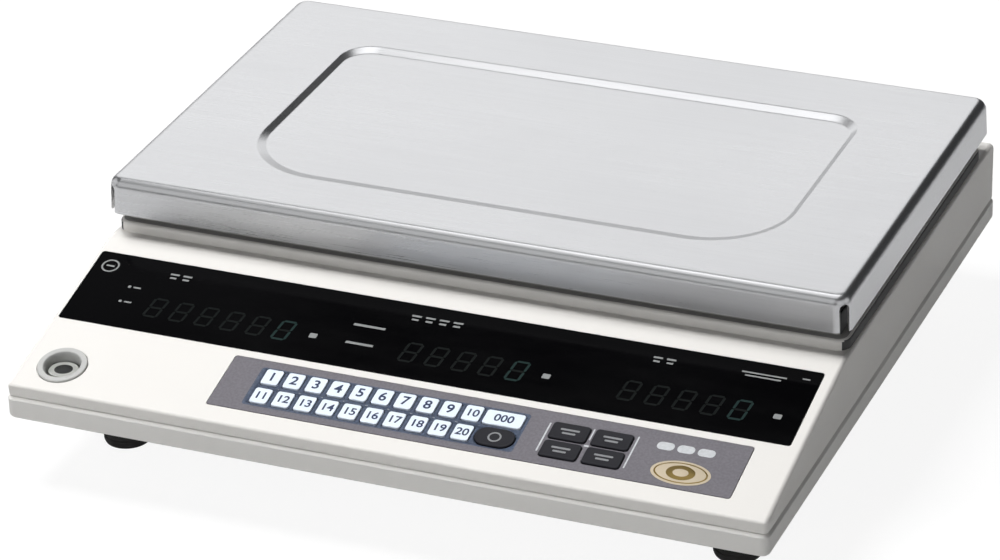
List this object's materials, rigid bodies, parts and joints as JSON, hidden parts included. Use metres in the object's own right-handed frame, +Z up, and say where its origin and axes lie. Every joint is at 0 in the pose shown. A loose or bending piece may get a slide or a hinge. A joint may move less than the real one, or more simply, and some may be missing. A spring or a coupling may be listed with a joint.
{
  "type": "counting scale",
  "caption": "Low wedge-fronted electronic counting scale with a dished stainless weighing pan, a long dark display window, a keypad, a bubble level and levelling feet.",
  "frame": {"origin": "on the ground under the middle of the housing, at the underside of the feet", "axes": "+X to the user's right along the housing's width, +Y from the keypad to the rear, +Z up"},
  "size_m": [0.35, 0.327, 0.0996],
  "materials": {
    "cover": "moulded, fine satin texture",
    "tray": "moulded, satin",
    "steel": "brushed along its width",
    "cast": "as machined",
    "zinc": "zinc plated",
    "rubber": "matt",
    "window": "polished",
    "display": "polished",
    "board": "solder mask",
    "overlay": "printed film",
    "light_key": "satin",
    "dark_key": "satin",
    "bezel": "satin",
    "vial": "clear",
    "iron": "varnished laminations",
    "black": "satin"
  },
  "bodies": {
    "housing": {"upper_cover": "cover", "base_tray": "tray", "display_window": "window", "display_weight": "display", "display_unit_weight": "display", "display_count": "display", "display_board": "board", "keypad_overlay": "overlay", "keypad_board": "board", "level_bezel": "bezel", "level_vial": "vial", "load_cell": "cast", "load_cell_spacer": "cast", "overload_stop_screw": "zinc", "main_board": "board", "transformer": "iron", "power_inlet": "black", "switch_frame": "black"},
    "platform": {"pan_support_frame": "cast", "load_cell_riser": "cast", "pan_pad_1": "rubber", "pan_pad_2": "rubber", "pan_pad_3": "rubber", "pan_pad_4": "rubber"},
    "pan": {"weighing_pan": "steel"},
    "rocker": {"power_rocker": "black"},
    "foot_1": {"foot_pad_1": "rubber"},
    "foot_1_screw": {"foot_stud_1": "zinc"},
    "foot_2": {"foot_pad_2": "rubber"},
    "foot_2_screw": {"foot_stud_2": "zinc"},
    "foot_3": {"foot_pad_3": "rubber"},
    "foot_3_screw": {"foot_stud_3": "zinc"},
    "foot_4": {"foot_pad_4": "rubber"},
    "foot_4_screw": {"foot_stud_4": "zinc"},
    "press_clear_key": {"clear_key": "light_key"},
    "press_round_key": {"round_key": "dark_key"},
    "press_function_key_1_1": {"function_key_1_1": "dark_key"},
    "press_function_key_1_2": {"function_key_1_2": "dark_key"},
    "press_function_key_2_1": {"function_key_2_1": "dark_key"},
    "press_function_key_2_2": {"function_key_2_2": "dark_key"},
    "press_number_key_1_1": {"number_key_1_1": "light_key"},
    "press_number_key_1_2": {"number_key_1_2": "light_key"},
    "press_number_key_1_3": {"number_key_1_3": "light_key"},
    "press_number_key_1_4": {"number_key_1_4": "light_key"},
    "press_number_key_1_5": {"number_key_1_5": "light_key"},
    "press_number_key_1_6": {"number_key_1_6": "light_key"},
    "press_number_key_1_7": {"number_key_1_7": "light_key"},
    "press_number_key_1_8": {"number_key_1_8": "light_key"},
    "press_number_key_1_9": {"number_key_1_9": "light_key"},
    "press_number_key_1_10": {"number_key_1_10": "light_key"},
    "press_number_key_2_1": {"number_key_2_1": "light_key"},
    "press_number_key_2_2": {"number_key_2_2": "light_key"},
    "press_number_key_2_3": {"number_key_2_3": "light_key"},
    "press_number_key_2_4": {"number_key_2_4": "light_key"},
    "press_number_key_2_5": {"number_key_2_5": "light_key"},
    "press_number_key_2_6": {"number_key_2_6": "light_key"},
    "press_number_key_2_7": {"number_key_2_7": "light_key"},
    "press_number_key_2_8": {"number_key_2_8": "light_key"},
    "press_number_key_2_9": {"number_key_2_9": "light_key"},
    "press_number_key_2_10": {"number_key_2_10": "light_key"}
  },
  "joints": [
    {"name": "pan_lift", "type": "slide", "parent": "platform", "child": "pan", "axis": [0, 0, 1], "range_m": [0, 0.06]},
    {"name": "platform_sag", "type": "slide", "parent": "housing", "child": "platform", "axis": [0, 0, -1], "range_m": [0, 0.00025], "stiffness_N_per_m": 60000},
    {"name": "rocker_tilt", "type": "hinge", "parent": "housing", "child": "rocker", "pos_m": [0.062, 0.1592, 0.0565], "axis": [1, 0, 0], "range_deg": [0, 16]},
    {"name": "foot_1_height", "type": "slide", "parent": "housing", "child": "foot_1", "axis": [0, 0, 1], "range_m": [-0.005, 0.005]},
    {"name": "foot_2_height", "type": "slide", "parent": "housing", "child": "foot_2", "axis": [0, 0, 1], "range_m": [-0.005, 0.005]},
    {"name": "foot_3_height", "type": "slide", "parent": "housing", "child": "foot_3", "axis": [0, 0, 1], "range_m": [-0.005, 0.005]},
    {"name": "foot_4_height", "type": "slide", "parent": "housing", "child": "foot_4", "axis": [0, 0, 1], "range_m": [-0.005, 0.005]},
    {"name": "foot_1_turn", "type": "hinge", "parent": "foot_1", "child": "foot_1_screw", "pos_m": [-0.144, -0.1118, 0.02], "axis": [0, 0, 1], "range_deg": [-1441, 1441]},
    {"name": "foot_2_turn", "type": "hinge", "parent": "foot_2", "child": "foot_2_screw", "pos_m": [0.144, -0.1118, 0.02], "axis": [0, 0, 1], "range_deg": [-1441, 1441]},
    {"name": "foot_3_turn", "type": "hinge", "parent": "foot_3", "child": "foot_3_screw", "pos_m": [-0.144, 0.1118, 0.02], "axis": [0, 0, 1], "range_deg": [-1441, 1441]},
    {"name": "foot_4_turn", "type": "hinge", "parent": "foot_4", "child": "foot_4_screw", "pos_m": [0.144, 0.1118, 0.02], "axis": [0, 0, 1], "range_deg": [-1441, 1441]},
    {"name": "clear_key_press", "type": "slide", "parent": "housing", "child": "press_clear_key", "axis": [0, 0.2184, -0.9758], "range_m": [0, 0.0005], "stiffness_N_per_m": 1500},
    {"name": "round_key_press", "type": "slide", "parent": "housing", "child": "press_round_key", "axis": [0, 0.2184, -0.9758], "range_m": [0, 0.0005], "stiffness_N_per_m": 1500},
    {"name": "function_key_1_1_press", "type": "slide", "parent": "housing", "child": "press_function_key_1_1", "axis": [0, 0.2184, -0.9758], "range_m": [0, 0.0005], "stiffness_N_per_m": 1500},
    {"name": "function_key_1_2_press", "type": "slide", "parent": "housing", "child": "press_function_key_1_2", "axis": [0, 0.2184, -0.9758], "range_m": [0, 0.0005], "stiffness_N_per_m": 1500},
    {"name": "function_key_2_1_press", "type": "slide", "parent": "housing", "child": "press_function_key_2_1", "axis": [0, 0.2184, -0.9758], "range_m": [0, 0.0005], "stiffness_N_per_m": 1500},
    {"name": "function_key_2_2_press", "type": "slide", "parent": "housing", "child": "press_function_key_2_2", "axis": [0, 0.2184, -0.9758], "range_m": [0, 0.0005], "stiffness_N_per_m": 1500},
    {"name": "number_key_1_1_press", "type": "slide", "parent": "housing", "child": "press_number_key_1_1", "axis": [0, 0.2184, -0.9758], "range_m": [0, 0.0005], "stiffness_N_per_m": 1500},
    {"name": "number_key_1_2_press", "type": "slide", "parent": "housing", "child": "press_number_key_1_2", "axis": [0, 0.2184, -0.9758], "range_m": [0, 0.0005], "stiffness_N_per_m": 1500},
    {"name": "number_key_1_3_press", "type": "slide", "parent": "housing", "child": "press_number_key_1_3", "axis": [0, 0.2184, -0.9758], "range_m": [0, 0.0005], "stiffness_N_per_m": 1500},
    {"name": "number_key_1_4_press", "type": "slide", "parent": "housing", "child": "press_number_key_1_4", "axis": [0, 0.2184, -0.9758], "range_m": [0, 0.0005], "stiffness_N_per_m": 1500},
    {"name": "number_key_1_5_press", "type": "slide", "parent": "housing", "child": "press_number_key_1_5", "axis": [0, 0.2184, -0.9758], "range_m": [0, 0.0005], "stiffness_N_per_m": 1500},
    {"name": "number_key_1_6_press", "type": "slide", "parent": "housing", "child": "press_number_key_1_6", "axis": [0, 0.2184, -0.9758], "range_m": [0, 0.0005], "stiffness_N_per_m": 1500},
    {"name": "number_key_1_7_press", "type": "slide", "parent": "housing", "child": "press_number_key_1_7", "axis": [0, 0.2184, -0.9758], "range_m": [0, 0.0005], "stiffness_N_per_m": 1500},
    {"name": "number_key_1_8_press", "type": "slide", "parent": "housing", "child": "press_number_key_1_8", "axis": [0, 0.2184, -0.9758], "range_m": [0, 0.0005], "stiffness_N_per_m": 1500},
    {"name": "number_key_1_9_press", "type": "slide", "parent": "housing", "child": "press_number_key_1_9", "axis": [0, 0.2184, -0.9758], "range_m": [0, 0.0005], "stiffness_N_per_m": 1500},
    {"name": "number_key_1_10_press", "type": "slide", "parent": "housing", "child": "press_number_key_1_10", "axis": [0, 0.2184, -0.9758], "range_m": [0, 0.0005], "stiffness_N_per_m": 1500},
    {"name": "number_key_2_1_press", "type": "slide", "parent": "housing", "child": "press_number_key_2_1", "axis": [0, 0.2184, -0.9758], "range_m": [0, 0.0005], "stiffness_N_per_m": 1500},
    {"name": "number_key_2_2_press", "type": "slide", "parent": "housing", "child": "press_number_key_2_2", "axis": [0, 0.2184, -0.9758], "range_m": [0, 0.0005], "stiffness_N_per_m": 1500},
    {"name": "number_key_2_3_press", "type": "slide", "parent": "housing", "child": "press_number_key_2_3", "axis": [0, 0.2184, -0.9758], "range_m": [0, 0.0005], "stiffness_N_per_m": 1500},
    {"name": "number_key_2_4_press", "type": "slide", "parent": "housing", "child": "press_number_key_2_4", "axis": [0, 0.2184, -0.9758], "range_m": [0, 0.0005], "stiffness_N_per_m": 1500},
    {"name": "number_key_2_5_press", "type": "slide", "parent": "housing", "child": "press_number_key_2_5", "axis": [0, 0.2184, -0.9758], "range_m": [0, 0.0005], "stiffness_N_per_m": 1500},
    {"name": "number_key_2_6_press", "type": "slide", "parent": "housing", "child": "press_number_key_2_6", "axis": [0, 0.2184, -0.9758], "range_m": [0, 0.0005], "stiffness_N_per_m": 1500},
    {"name": "number_key_2_7_press", "type": "slide", "parent": "housing", "child": "press_number_key_2_7", "axis": [0, 0.2184, -0.9758], "range_m": [0, 0.0005], "stiffness_N_per_m": 1500},
    {"name": "number_key_2_8_press", "type": "slide", "parent": "housing", "child": "press_number_key_2_8", "axis": [0, 0.2184, -0.9758], "range_m": [0, 0.0005], "stiffness_N_per_m": 1500},
    {"name": "number_key_2_9_press", "type": "slide", "parent": "housing", "child": "press_number_key_2_9", "axis": [0, 0.2184, -0.9758], "range_m": [0, 0.0005], "stiffness_N_per_m": 1500},
    {"name": "number_key_2_10_press", "type": "slide", "parent": "housing", "child": "press_number_key_2_10", "axis": [0, 0.2184, -0.9758], "range_m": [0, 0.0005], "stiffness_N_per_m": 1500}
  ],
  "couplings": [
    {"joint": "foot_1_turn", "follows": "foot_1_height", "rad_per_m": 5026.5},
    {"joint": "foot_2_turn", "follows": "foot_2_height", "rad_per_m": 5026.5},
    {"joint": "foot_3_turn", "follows": "foot_3_height", "rad_per_m": 5026.5},
    {"joint": "foot_4_turn", "follows": "foot_4_height", "rad_per_m": 5026.5}
  ]
}
